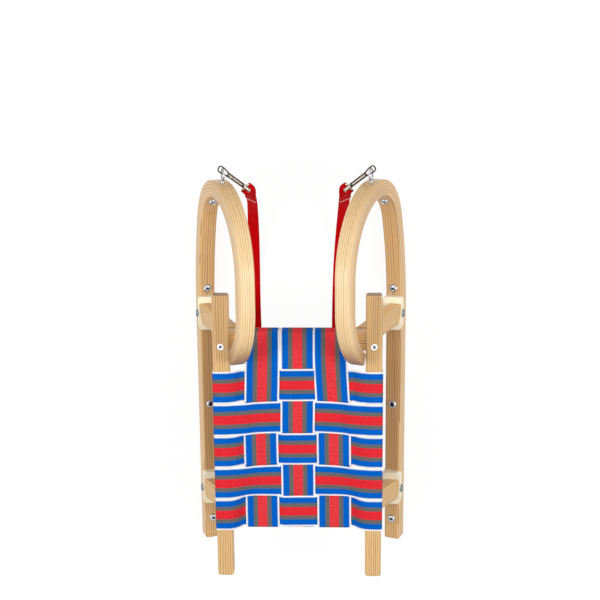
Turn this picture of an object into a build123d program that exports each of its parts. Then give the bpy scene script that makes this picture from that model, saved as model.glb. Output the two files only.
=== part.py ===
# Child's wooden horn sled: bent runners, two trestles, two seat rails, a woven webbing seat and a pull strap
from build123d import *
from math import asin, atan2, cos, degrees, radians, sin, tan
import os

os.makedirs("parts", exist_ok=True)

# Frame: +X to the sled's right, +Y forward, +Z up, origin on the floor below the middle. Millimetres.
# The right-hand pieces are modelled and the left-hand ones are mirrored from them.

# Runner and horn, one bent stave in a plane that leans inwards
runner_width = 27.8
runner_height = 27.5
runner_round = 4.5
runner_lean = 22.0
runner_gauge = 333.0
runner_rear = -342.2
rise_start = 90.3
rise_radius = 540.0
rise_angle = 17.5
nose_radius = 84.0
crown_radius = 133.0
grip_length = 42.0
curl_radius = 100.0
curl_angle = 65.0
stave_end_round = 2.5

# Steel glide band under the runner
band_width = 16.0
band_thick = 2.0
band_nose_share = 0.62

# Button-head bolts that hold the band
runner_bolt_radius = 3.0
runner_bolt_head = 7.3
runner_bolt_rim = 1.6
runner_bolt_dome = 2.2
runner_bolt_crown = 4.0
runner_bolt_socket = 2.3
rear_bolt_y = -302.7
middle_bolt_y = -86.2
front_bolt_gap = 12.5
nose_bolt_share = 0.48

# Seat frame
crossbar_overhang = 0.85
crossbar_depth = 32.0
crossbar_height = 28.0
crossbar_under = 128.0
crossbar_round = 2.5
front_crossbar_y = 63.3
rear_crossbar_y = -246.7
rail_width = 27.0
rail_height = 22.0
rail_inset = 41.35
rail_front = 146.8
rail_rear = -345.2
rail_round = 2.5
rail_end_round = 4.5

# Rail screws
screw_radius = 2.0
screw_depth = 15.0
screw_head = 3.6
screw_head_height = 2.0
washer_radius = 5.5
washer_thick = 1.2
front_screw_back = 3.0

# Legs and their shoes
leg_depth = 36.0
leg_thick = 20.0
leg_round = 3.0
leg_splay = 35.0
front_rake_angle = 14.0
rear_rake_angle = 3.0
front_shoe_y = 82.8
rear_shoe_y = -239.2
shoe_lean = 8.0
shoe_width = 34.0
shoe_length = 59.0
shoe_height = 16.0
shoe_floor = 6.0
shoe_lip = 8.0
shoe_rim = 3.5
shoe_wall = 2.5
shoe_corner = 9.0
shoe_edge = 1.5
cross_bolt_radius = 3.0
cross_bolt_up = 10.0
cross_bolt_head = 5.5
cross_bolt_head_height = 3.0
cross_bolt_nut = 5.0
cross_bolt_nut_height = 4.0

# Seat webbing
strap_thick = 1.6
strap_gap = 0.6
strap_ease = 0.05
row_count = 5
row_gap = 3.0
first_row_behind = 73.0
last_row_ahead = 13.0
column_count = 3
column_gap = 4.5
column_margin = 25.4
weave_rise = 3.6
strap_bend = 1.6
rail_wrap = 19.0
crossbar_wrap = 3.5

# Eye bolt and snap hook
eye_share = 0.08
eye_radius = 8.0
eye_wire = 2.2
eye_collar = 6.0
eye_collar_height = 2.0
eye_shank = 2.5
eye_nut = 5.0
eye_nut_height = 4.0
hook_bend = 5.5
hook_wire = 2.2
hook_chamfer = 0.8
hook_stem = 3.4
hook_stem_length = 7.0
hook_bar_width = 25.0
hook_bar_depth = 4.0
hook_bar_thick = 4.0

# Pull strap
pull_width = 20.0
pull_thick = 2.4

# Room left around bolts and screws in their holes
bolt_room = 0.1


# Values that follow from the sizes above
lean = radians(runner_lean)
half = runner_height / 2
runner_z = (half + band_thick) * cos(lean) + band_width / 2 * sin(lean)
runner_x = runner_gauge / 2
side = Vector(cos(lean), 0, sin(lean))
up = Vector(-sin(lean), 0, cos(lean))
forward = Vector(0, 1, 0)
shoe_side = Vector(cos(radians(shoe_lean)), 0, sin(radians(shoe_lean)))
shoe_up = Vector(-sin(radians(shoe_lean)), 0, cos(radians(shoe_lean)))
crossbar_top = crossbar_under + crossbar_height
rail_top = crossbar_top + rail_height
rail_x = runner_x - rail_inset
crossbar_length = 2 * (rail_x + rail_width / 2 + crossbar_overhang)
rail_length = rail_front - rail_rear
rail_middle = (rail_front + rail_rear) / 2


def export(name, builder):
    """Label a finished piece and write its STEP file."""
    builder.part.label = name
    export_step(builder.part, "parts/" + name + ".step")


def export_pair(name, right):
    """Write a right-hand piece and its left-hand mirror."""
    with BuildPart() as left:
        mirror(right.part, about=Plane.YZ)
    export(name + "_right", right)
    export(name + "_left", left)


# The stave's centreline in its own plane: along the runner, up over the nose, back along the horn and down
with BuildLine() as stave_line:
    flat = Line((runner_rear, 0), (rise_start, 0))
    rise = JernArc(flat @ 1, flat % 1, rise_radius, rise_angle)
    nose = JernArc(rise @ 1, rise % 1, nose_radius, 90 - rise_angle)
    crown = JernArc(nose @ 1, nose % 1, crown_radius, 90)
    grip = Line(crown @ 1, crown @ 1 + (crown % 1) * grip_length)
    curl = JernArc(grip @ 1, grip % 1, curl_radius, curl_angle)

with BuildLine() as band_line:
    Line((runner_rear, 0), (rise_start, 0))
    JernArc(flat @ 1, flat % 1, rise_radius, rise_angle)
    JernArc(rise @ 1, rise % 1, nose_radius, (90 - rise_angle) * band_nose_share)

stave_plane = Plane((runner_x, 0, runner_z), x_dir=(0, 1, 0), z_dir=(cos(lean), 0, sin(lean)))
stave_path = stave_plane.from_local_coords(stave_line.wire())
band_path = stave_plane.from_local_coords(band_line.wire())
stave_section = Plane(stave_path @ 0, x_dir=side, z_dir=forward)


def stave_station(line, share, height):
    """Plane that faces the inside of the bend at a share of one line, a height above the centreline."""
    tangent = line % share
    turn = degrees(atan2(tangent.Y, tangent.X))
    turning = Axis((0, 0, 0), stave_plane.z_dir)
    inwards = up.rotate(turning, turn)
    origin = stave_plane.from_local_coords(line @ share) + inwards * height
    return Plane(origin, x_dir=forward.rotate(turning, turn), z_dir=inwards)


def flat_share(y):
    """Share of the straight run at a place along the sled."""
    return (y - runner_rear) / (rise_start - runner_rear)


def rise_share(y):
    """Share of the rising arc at a place along the sled."""
    return degrees(asin((y - rise_start) / rise_radius)) / rise_angle


# Bolt places on the runner's top, and the eye bolt's on the outside of the nose
bolt_planes = [
    stave_station(flat, flat_share(rear_bolt_y), half),
    stave_station(flat, flat_share(middle_bolt_y), half),
    stave_station(rise, rise_share(front_shoe_y + shoe_length / 2 + front_bolt_gap), half),
    stave_station(nose, nose_bolt_share, half),
]
eye_seat = stave_station(crown, eye_share, -half)
eye_plane = Plane(eye_seat.origin, x_dir=eye_seat.x_dir, z_dir=eye_seat.z_dir * -1)
hole_radius = runner_bolt_radius + bolt_room
through_runner = runner_height + band_thick

# Runner and horn
with BuildPart() as runner:
    with BuildSketch(stave_section):
        RectangleRounded(runner_width, runner_height, runner_round)
    sweep(path=stave_path)
    ends = [runner.faces().sort_by_distance(stave_path @ share)[0] for share in (0, 1)]
    fillet([edge for end in ends for edge in end.edges()], stave_end_round)
    with Locations(*bolt_planes):
        Cylinder(hole_radius, 2 * through_runner, mode=Mode.SUBTRACT)
        Cylinder(
            runner_bolt_head + bolt_room,
            runner_bolt_dome,
            align=(Align.CENTER, Align.CENTER, Align.MIN),
            mode=Mode.SUBTRACT,
        )
    with Locations(eye_plane):
        Cylinder(eye_shank + bolt_room, 4 * runner_height, mode=Mode.SUBTRACT)
    with Locations(eye_plane.offset(-runner_height)):
        Cylinder(
            eye_nut + bolt_room,
            eye_nut_height,
            align=(Align.CENTER, Align.CENTER, Align.MAX),
            mode=Mode.SUBTRACT,
        )
export_pair("runner", runner)

# Glide band
with BuildPart() as band:
    with BuildSketch(stave_section):
        with Locations((0, half + band_thick / 2)):
            Rectangle(band_width, band_thick)
    sweep(path=band_path)
    with Locations(*bolt_planes):
        Cylinder(hole_radius, 3 * through_runner, mode=Mode.SUBTRACT)
export_pair("glide_band", band)

# Runner bolts
with BuildPart() as runner_bolts:
    with Locations(*bolt_planes):
        Cylinder(runner_bolt_head, runner_bolt_rim, align=(Align.CENTER, Align.CENTER, Align.MIN))
        Cylinder(runner_bolt_radius, through_runner - band_thick / 2, align=(Align.CENTER, Align.CENTER, Align.MAX))
    with Locations(*[plane.offset(runner_bolt_rim) for plane in bolt_planes]):
        Cone(
            runner_bolt_head,
            runner_bolt_crown,
            runner_bolt_dome,
            align=(Align.CENTER, Align.CENTER, Align.MIN),
        )
    with BuildSketch(*[plane.offset(runner_bolt_rim + runner_bolt_dome) for plane in bolt_planes]):
        RegularPolygon(runner_bolt_socket, 6)
    extrude(amount=-runner_bolt_dome, mode=Mode.SUBTRACT)
export_pair("runner_bolts", runner_bolts)


def shoe_seat(foot_y):
    """Middle of the runner's top under a shoe."""
    return Vector(runner_x, foot_y, runner_z) + up * half


def cross_plane(foot_y):
    """Plane in the shoe's middle that looks outwards along its cross bolt."""
    return Plane(shoe_seat(foot_y) + shoe_up * cross_bolt_up, x_dir=forward, z_dir=shoe_side)


def make_leg(foot_y, rake):
    """Splayed leg from its trimmed foot in the shoe up to the crossbar's underside."""
    seat = shoe_seat(foot_y)
    half_across = leg_thick / 2 / cos(radians(leg_splay - shoe_lean))
    foot = seat + shoe_up * shoe_height + shoe_side * (shoe_width / 2 - shoe_rim - half_across)
    axis = Vector(-tan(radians(leg_splay)), -tan(radians(rake)), 1).normalized()
    face = Vector(0, axis.Z, -axis.Y).normalized()
    reach = 2 * crossbar_top
    with BuildPart() as leg:
        with BuildSketch(Plane(foot - axis * shoe_length, x_dir=face, z_dir=axis)):
            RectangleRounded(leg_depth, leg_thick, leg_round)
        extrude(amount=reach)
        split(bisect_by=Plane.XY.offset(crossbar_under), keep=Keep.BOTTOM)
        split(bisect_by=Plane(seat + shoe_up * shoe_floor, x_dir=forward, z_dir=shoe_up), keep=Keep.TOP)
        pocket_side = seat + shoe_side * (shoe_width / 2 - shoe_wall)
        split(bisect_by=Plane(pocket_side, x_dir=forward, z_dir=shoe_side), keep=Keep.BOTTOM)
        with Locations(cross_plane(foot_y)):
            Cylinder(cross_bolt_radius + bolt_room, 2 * shoe_width, mode=Mode.SUBTRACT)
    return leg


def make_shoe(foot_y, leg):
    """Moulded cup that sits astride the runner and takes the leg's foot."""
    base = shoe_seat(foot_y) - shoe_up * shoe_lip
    with BuildPart() as shoe:
        with BuildSketch(Plane(base, x_dir=shoe_side, z_dir=shoe_up)):
            RectangleRounded(shoe_width, shoe_length, shoe_corner)
        extrude(amount=shoe_height + shoe_lip)
        fillet(shoe.faces().sort_by(Axis(base, shoe_up))[-1].edges(), shoe_edge)
        add(runner.part, mode=Mode.SUBTRACT)
        add(leg.part, mode=Mode.SUBTRACT)
        with Locations(cross_plane(foot_y)):
            Cylinder(cross_bolt_radius + bolt_room, 2 * shoe_width, mode=Mode.SUBTRACT)
    return shoe


def make_cross_bolt(foot_y):
    """Bolt through shoe and leg, with its head outside and its nut inside."""
    plane = cross_plane(foot_y)
    with BuildPart() as bolt:
        with Locations(plane):
            Cylinder(cross_bolt_radius, shoe_width)
        with Locations(plane.offset(shoe_width / 2)):
            Cylinder(cross_bolt_head, cross_bolt_head_height, align=(Align.CENTER, Align.CENTER, Align.MIN))
        with BuildSketch(plane.offset(-shoe_width / 2)):
            RegularPolygon(cross_bolt_nut, 6)
        extrude(amount=-cross_bolt_nut_height)
    return bolt


for place, foot_y, rake in (("front", front_shoe_y, front_rake_angle), ("rear", rear_shoe_y, rear_rake_angle)):
    leg = make_leg(foot_y, rake)
    export_pair(place + "_leg", leg)
    export_pair(place + "_shoe", make_shoe(foot_y, leg))
    export_pair(place + "_cross_bolt", make_cross_bolt(foot_y))


# Screw places on the right rail: the front one shows, the rear one lies flush under the webbing
front_screw = Plane((rail_x, front_crossbar_y - front_screw_back, rail_top))
rear_screw = Plane((rail_x, rear_crossbar_y, rail_top))
screw_reach = rail_height + screw_depth

# Crossbars
for name, y in (("front_crossbar", front_crossbar_y), ("rear_crossbar", rear_crossbar_y)):
    with BuildPart() as crossbar:
        with Locations((0, y, crossbar_under)):
            Box(crossbar_length, crossbar_depth, crossbar_height, align=(Align.CENTER, Align.CENTER, Align.MIN))
        fillet(crossbar.edges().filter_by(Axis.X), crossbar_round)
        with Locations(*[Plane((sign * rail_x, screw.origin.Y, rail_top)) for sign in (-1, 1)
                         for screw in (front_screw, rear_screw)]):
            Cylinder(screw_radius + bolt_room, 2 * screw_reach + 1, mode=Mode.SUBTRACT)
    export(name, crossbar)

# Seat rails
with BuildPart() as rail:
    with Locations((rail_x, rail_middle, crossbar_top)):
        Box(rail_width, rail_length, rail_height, align=(Align.CENTER, Align.CENTER, Align.MIN))
    fillet(rail.edges().filter_by(Axis.Z), rail_end_round)
    fillet(rail.edges().group_by(Axis.Z)[0] + rail.edges().group_by(Axis.Z)[-1], rail_round)
    with Locations(front_screw, rear_screw):
        Cylinder(screw_radius + bolt_room, 3 * rail_height, mode=Mode.SUBTRACT)
    with Locations(rear_screw):
        Cylinder(screw_head + bolt_room, 2 * screw_head_height, mode=Mode.SUBTRACT)
export_pair("seat_rail", rail)

# Rail screws, with a washer under the one that shows
with BuildPart() as rail_screws:
    with Locations(front_screw, rear_screw):
        Cylinder(screw_radius, screw_reach - bolt_room, align=(Align.CENTER, Align.CENTER, Align.MAX))
    with Locations(rear_screw):
        Cylinder(screw_head, screw_head_height, align=(Align.CENTER, Align.CENTER, Align.MAX))
    with Locations(front_screw):
        Cylinder(washer_radius, washer_thick, align=(Align.CENTER, Align.CENTER, Align.MIN))
    with Locations(front_screw.offset(washer_thick)):
        Cylinder(screw_head, screw_head_height, align=(Align.CENTER, Align.CENTER, Align.MIN))
export_pair("rail_screws", rail_screws)


# Woven seat
def strap_outline(points, bends):
    """Closed outline of a strap whose middle follows points, bent by a radius at each inner point."""
    path = [Vector(*point) for point in points]
    headings = [(b - a).normalized() for a, b in zip(path, path[1:])]
    sides = []
    for sign in (1, -1):
        offset_points = []
        radii = []
        for index, point in enumerate(path):
            before = headings[max(index - 1, 0)]
            after = headings[min(index, len(headings) - 1)]
            normal = (Vector(-before.Y, before.X) + Vector(-after.Y, after.X)).normalized()
            stretch = 1 / normal.dot(Vector(-after.Y, after.X))
            offset_points.append(point + normal * (sign * stretch * strap_thick / 2))
            if 0 < index < len(path) - 1:
                leftward = before.cross(after).Z > 0
                inside = leftward == (sign > 0)
                radii.append(bends[index - 1] + (-1 if inside else 1) * strap_thick / 2)
        sides.append((offset_points, radii))
    for offset_points, radii in sides:
        FilletPolyline(*offset_points, radius=radii)
    for end in (0, -1):
        Line(sides[0][0][end], sides[1][0][end])


# Rows share the room between the crossbars, lengthwise straps the room between the rails
last_row_y = rear_crossbar_y + last_row_ahead
row_pitch = (front_crossbar_y - first_row_behind - last_row_y) / (row_count - 1)
row_reach = (row_pitch - row_gap) / 2
column_pitch = (rail_x - rail_width / 2 - column_margin) * 2 / column_count
column_reach = (column_pitch - column_gap) / 2
rows = [last_row_y + row_pitch * index for index in reversed(range(row_count))]
columns = [column_pitch * (index - (column_count - 1) / 2) for index in range(column_count)]
lift = (strap_thick + strap_gap) / 2
skin = strap_thick / 2 + strap_ease
weave_level = crossbar_top + weave_rise


def row_is_over(row, column):
    """True where a cross row passes over a lengthwise strap."""
    return (row + column) % 2 == 1


edge = rail_x + rail_width / 2
rail_bend = rail_round + skin

for row, y in enumerate(rows):
    # From below the right rail over its top, or from its outer side where the rear crossbar is in the way
    outer = [(edge + skin, rail_top + skin), (edge - rail_width, rail_top + skin)]
    if abs(y - rear_crossbar_y) < row_reach + crossbar_depth / 2:
        outer = [(edge + skin, crossbar_top + crossbar_wrap)] + outer
    else:
        outer = [(edge + skin - rail_wrap, crossbar_top - skin), (edge + skin, crossbar_top - skin)] + outer
    bends = [rail_bend] * (len(outer) - 1)
    crossing = []
    for column, x in reversed(list(enumerate(columns))):
        level = weave_level + (lift if row_is_over(row, column) else -lift)
        crossing.append((x + column_reach, level))
        crossing.append((x - column_reach, level))
    points = outer + crossing + [(-x, z) for x, z in reversed(outer)]
    bends = bends + [strap_bend] * len(crossing) + bends
    with BuildPart() as cross_strap:
        with BuildSketch(Plane.XZ.offset(-y)):
            with BuildLine():
                strap_outline(points, bends)
            make_face()
        extrude(amount=row_reach, both=True)
    export("cross_strap_" + str(row + 1), cross_strap)

front_face = front_crossbar_y + crossbar_depth / 2
rear_face = rear_crossbar_y - crossbar_depth / 2
bar_bend = crossbar_round + skin

for column, x in enumerate(columns):
    front = [
        (front_face + skin, crossbar_under + crossbar_wrap),
        (front_face + skin, crossbar_top + skin),
        (front_face - crossbar_depth, crossbar_top + skin),
    ]
    crossing = []
    for row, y in enumerate(rows):
        level = weave_level + (-lift if row_is_over(row, column) else lift)
        crossing.append((y + row_reach, level))
        crossing.append((y - row_reach, level))
    rear = [
        (rear_face - skin, crossing[-1][1]),
        (rear_face - skin, crossbar_under + crossbar_wrap),
    ]
    bends = [bar_bend, bar_bend] + [strap_bend] * (len(crossing) - 1) + [bar_bend]
    with BuildPart() as long_strap:
        with BuildSketch(Plane.YZ.offset(x)):
            with BuildLine():
                strap_outline(front + crossing[:-1] + rear, bends)
            make_face()
        extrude(amount=column_reach, both=True)
    export("long_strap_" + str(column + 1), long_strap)


# Pull strap: from the right hook down to the floor, under the seat, round and back up to the left hook
pull_points = [
    (78, 308, 116),
    (76.5, 287.5, 80),
    (74.2, 256.5, 45),
    (71, 213.5, 18),
    (66.9, 157.5, 5),
    (65, 93.5, 1.4),
    (64, 28.3, 1.4),
    (66, -37.7, 1.4),
    (64, -101.7, 1.4),
    (37, -139.7, 1.4),
    (-6, -154.7, 1.4),
    (-50, -140.7, 1.4),
    (-77, -103.7, 1.4),
    (-81, -39.7, 1.4),
    (-79.5, 26.3, 1.4),
    (-81, 93.5, 1.4),
    (-80.5, 157.5, 5),
    (-79.8, 213.5, 18),
    (-78.3, 256.5, 45),
    (-76.5, 287.5, 80),
    (-78, 308, 116),
]
route = [Vector(*point) for point in pull_points]
runs = [b - a for a, b in zip(route, route[1:])]
pull_radii = []
for before, after in zip(runs, runs[1:]):
    shorter = min(before.length, after.length)
    pull_radii.append(0.45 * shorter / tan(radians(before.get_angle(after) / 2)))
print("pull strap radii", [round(radius) for radius in pull_radii])

with BuildLine() as pull_line:
    FilletPolyline(*route, radius=pull_radii)
pull_path = pull_line.wire()


def end_plane(point, run):
    """Plane across the strap at one end, with X along its width."""
    heading = run.normalized()
    return Plane(point, x_dir=heading.cross(Vector(0, 0, 1)), z_dir=heading)


with BuildPart() as pull_strap:
    with BuildSketch(end_plane(route[0], runs[0])):
        Rectangle(pull_width, pull_thick)
    sweep(path=pull_path)
print("pull strap", round(pull_path.length), "mm, volume share",
      round(pull_strap.part.volume / (pull_path.length * pull_width * pull_thick), 3))
export("pull_strap", pull_strap)

# Eye bolt through the nose of the horn, its ring turned to face the hook that hangs in it
bar_plane = end_plane(route[0], runs[0])
bar_middle = route[0] - bar_plane.z_dir * (hook_bar_depth / 2)
eye_axis = eye_plane.z_dir
ring_centre = eye_plane.origin + eye_axis * (eye_collar_height + eye_radius + eye_wire / 2)
ring_end = ring_centre + eye_axis * eye_radius
hang = (bar_middle - ring_end).normalized()
ring_axis = (hang - eye_axis * hang.dot(eye_axis)).normalized()
with BuildPart() as eye_bolt:
    with Locations(Plane(ring_centre, z_dir=ring_axis)):
        Torus(eye_radius, eye_wire)
    with Locations(eye_plane):
        Cylinder(eye_collar, eye_collar_height, align=(Align.CENTER, Align.CENTER, Align.MIN))
        Cylinder(eye_shank, runner_height + eye_nut_height, align=(Align.CENTER, Align.CENTER, Align.MAX))
    with BuildSketch(eye_plane.offset(-runner_height)):
        RegularPolygon(eye_nut, 6)
    extrude(amount=-eye_nut_height)
export_pair("eye_bolt", eye_bolt)

# Snap hook: a closed link round the eye's outer end, a stem and the bar that holds the strap
hook_reach = (bar_middle - ring_end).length - hook_stem_length - hook_bend
hook_across = (eye_axis - hang * eye_axis.dot(hang)).normalized()
hook_plane = Plane(ring_end, x_dir=hook_across, z_dir=hook_across.cross(hang))
with BuildPart() as hook:
    with BuildSketch(hook_plane):
        with Locations((0, hook_reach / 2)):
            SlotCenterToCenter(hook_reach, 2 * (hook_bend + hook_wire), rotation=90)
            SlotCenterToCenter(hook_reach, 2 * (hook_bend - hook_wire), rotation=90, mode=Mode.SUBTRACT)
    extrude(amount=hook_wire, both=True)
    chamfer(hook.edges(), hook_chamfer)
    with Locations(Plane(bar_middle, z_dir=hang)):
        Cylinder(hook_stem, hook_stem_length + hook_wire / 2, align=(Align.CENTER, Align.CENTER, Align.MAX))
    with Locations(bar_plane):
        Box(hook_bar_width, hook_bar_thick, hook_bar_depth, align=(Align.CENTER, Align.CENTER, Align.MAX))
    split(bisect_by=bar_plane, keep=Keep.BOTTOM)
export_pair("snap_hook", hook)
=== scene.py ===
import bpy
import bmesh
from math import asin, ceil, cos, pi, radians, sin, tan
from mathutils import Euler, Matrix, Vector


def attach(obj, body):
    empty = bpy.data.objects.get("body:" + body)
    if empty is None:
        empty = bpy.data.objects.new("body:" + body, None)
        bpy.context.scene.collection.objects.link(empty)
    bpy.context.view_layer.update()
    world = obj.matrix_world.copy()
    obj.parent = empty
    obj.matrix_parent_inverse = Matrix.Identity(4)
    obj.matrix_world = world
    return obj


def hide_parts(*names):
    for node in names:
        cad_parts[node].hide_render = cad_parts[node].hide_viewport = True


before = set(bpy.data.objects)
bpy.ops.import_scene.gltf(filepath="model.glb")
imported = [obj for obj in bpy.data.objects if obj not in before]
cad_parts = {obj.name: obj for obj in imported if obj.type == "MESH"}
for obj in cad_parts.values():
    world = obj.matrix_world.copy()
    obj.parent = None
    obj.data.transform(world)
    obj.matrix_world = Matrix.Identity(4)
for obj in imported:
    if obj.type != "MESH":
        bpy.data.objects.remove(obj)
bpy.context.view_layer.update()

# Photograph's camera, in metres in the sled's frame
camera_place = Vector((0.0818, 0.6301, 2.1648))
camera_right = Vector((0.9993, -0.00852, -0.03638))
camera_up = Vector((-0.00045, 0.97083, -0.23978))
camera_back = Vector((0.03737, 0.23963, 0.97015))
photo_size = 600
focal_pixels = 1269.7
sensor_width = 36.0

# Bent stave that makes a runner and its horn
runner_width = 0.0278
runner_height = 0.0275
runner_round = 0.0032
runner_lean = radians(22.0)
runner_gauge = 0.333
runner_rear = -0.3422
rise_start = 0.0903
rise_radius = 0.540
rise_angle = radians(17.5)
nose_radius = 0.084
crown_radius = 0.133
grip_length = 0.042
curl_radius = 0.100
curl_angle = radians(65.0)
stave_end_round = 0.0035
end_steps = 5
least_corner = 0.0015
line_pace = 0.009
arc_pace = 0.0045
# Where the painted light on the horns' outward faces begins, and the run it takes to come in
painted_light_start = 0.74
painted_light_run = 0.10
tip_run = 0.115
tip_thin = 0.0065
# Length of the painted shade along the horn's tip
tip_shade_run = 0.062
grip_narrow = 0.0022
band_width = 0.016
band_thick = 0.002

# Bolts along the runner and through the shoes
bolt_radius = 0.003
bolt_head = 0.0073
bolt_head_height = 0.0038
rear_bolt_y = -0.3027
middle_bolt_y = -0.0862
front_bolt_gap = 0.0125
nose_bolt_share = 0.48
front_shoe_y = 0.0828
rear_shoe_y = -0.2392
shoe_lean = radians(8.0)
shoe_width = 0.034
shoe_length = 0.059
cross_bolt_up = 0.010
nut_radius = 0.005
nut_height = 0.004
ring_count = 36

# Seat frame
crossbar_depth = 0.032
crossbar_height = 0.028
crossbar_under = 0.128
crossbar_round = 0.0025
front_crossbar_y = 0.0633
rear_crossbar_y = -0.2467
rail_width = 0.027
rail_height = 0.022
rail_inset = 0.04135
rail_round = 0.0025
front_screw_back = 0.003
screw_head = 0.0036
screw_shank = 0.002
screw_length = 0.036
screw_cone = 0.0024
screw_crown = 0.0003
slot_depth = 0.0014
slot_pit = 0.0016
cup_screw_level = 0.0002
flush_screw_level = -0.0004
leg_splay = radians(35.0)
front_rake_angle = radians(14.0)
rear_rake_angle = radians(3.0)

# Seat webbing
strap_reach = 0.0265
row_width = 0.0546
column_width = 0.0560
strap_thick = 0.0016
strap_gap = 0.0006
row_pitch = 0.056
row_count = 5
column_pitch = 0.0575
column_count = 3
last_row_ahead = 0.013
weave_rise = 0.0036
strap_bend = 0.0016
slope_bend = 0.045
edge_lift = 0.009
under_bend = 0.012
right_reach = 0.0335
left_reach = 0.0360
rail_wrap = 0.019
crossbar_wrap = 0.0035
slope_gap = 0.003
rest_gap = 0.00005
track_step = 0.005
arc_step = radians(14)
lean_start = 0.05
lean_run = 0.16
column_leans = ((-0.0008, -0.0045), (-0.0008, -0.0010), (-0.0042, 0.0020))
pick_pitch = 0.0021
selvedge_radius = 0.00062
selvedge_length = 0.0019

# Eye bolt and snap hook
eye_share = 0.08
eye_radius = 0.008
eye_wire = 0.0022
eye_collar = 0.0042
eye_collar_height = 0.002
eye_shank = 0.0025
eye_visible_wire = 0.0014
hook_bar_depth = 0.004
fold_ahead = 0.003
fold_twist = radians(42)
end_twist = radians(-28)
twist_start = 0.04
twist_run = 0.17
fold_bend = 0.0042
seam_away = 0.034
loop_wire = 0.0016
hook_wire = 0.0012
pin_wire = 0.0014
eye_growth = 0.2
swivel_rise = 0.0042
body_start = 0.0100
body_short = 0.0115
hook_past_eye = 0.0082
neck_ahead = 0.0075
neck_half = 0.0040

# Pull strap, flat webbing from hook to hook
pull_width = 0.020
pull_thick = 0.0024
stitch_radius = 0.0005
stitch_length = 0.0027
stitch_count = 7
pull_route = [
    (0.0780, 0.3080, 0.1160),
    (0.0765, 0.2875, 0.0800),
    (0.0742, 0.2565, 0.0450),
    (0.0710, 0.2135, 0.0180),
    (0.0669, 0.1575, 0.0050),
    (0.0650, 0.0935, 0.0014),
    (0.0640, 0.0283, 0.0014),
    (0.0660, -0.0377, 0.0014),
    (0.0640, -0.1017, 0.0014),
    (0.0370, -0.1397, 0.0014),
    (-0.0060, -0.1547, 0.0014),
    (-0.0500, -0.1407, 0.0014),
    (-0.0770, -0.1037, 0.0014),
    (-0.0810, -0.0397, 0.0014),
    (-0.0795, 0.0263, 0.0014),
    (-0.0810, 0.0935, 0.0014),
    (-0.0805, 0.1575, 0.0050),
    (-0.0798, 0.2135, 0.0180),
    (-0.0783, 0.2565, 0.0450),
    (-0.0765, 0.2875, 0.0800),
    (-0.0780, 0.3080, 0.1160),
]

# Values that follow from the sizes above
half = runner_height / 2
runner_x = runner_gauge / 2
runner_z = (half + band_thick) * cos(runner_lean) + band_width / 2 * sin(runner_lean)
stave_side = Vector((cos(runner_lean), 0, sin(runner_lean)))
stave_up = Vector((-sin(runner_lean), 0, cos(runner_lean)))
shoe_up = Vector((-sin(shoe_lean), 0, cos(shoe_lean)))
crossbar_top = crossbar_under + crossbar_height
rail_top = crossbar_top + rail_height
rail_x = runner_x - rail_inset
sides = {"right": 1, "left": -1}


def set_camera():
    """Camera above the seat, looking down and a little from the front, with the sled's front at the top."""
    data = bpy.data.cameras.new("photo_camera")
    data.sensor_width = sensor_width
    data.lens = sensor_width * focal_pixels / photo_size
    camera = bpy.data.objects.new("photo_camera", data)
    bpy.context.collection.objects.link(camera)
    turn = Matrix((camera_right, camera_up, camera_back)).transposed()
    camera.matrix_world = Matrix.Translation(camera_place) @ turn.to_4x4()
    bpy.context.scene.camera = camera


set_camera()


# Node trees
def math_node(operation, swapped=False):
    """Method that adds a Math node on its own socket and the numbers or sockets it is given."""
    def method(self, *others):
        terms = (*others, self) if swapped else (self, *others)
        return self.node("ShaderNodeMath", {"operation": operation}, dict(enumerate(terms)))
    return method


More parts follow.
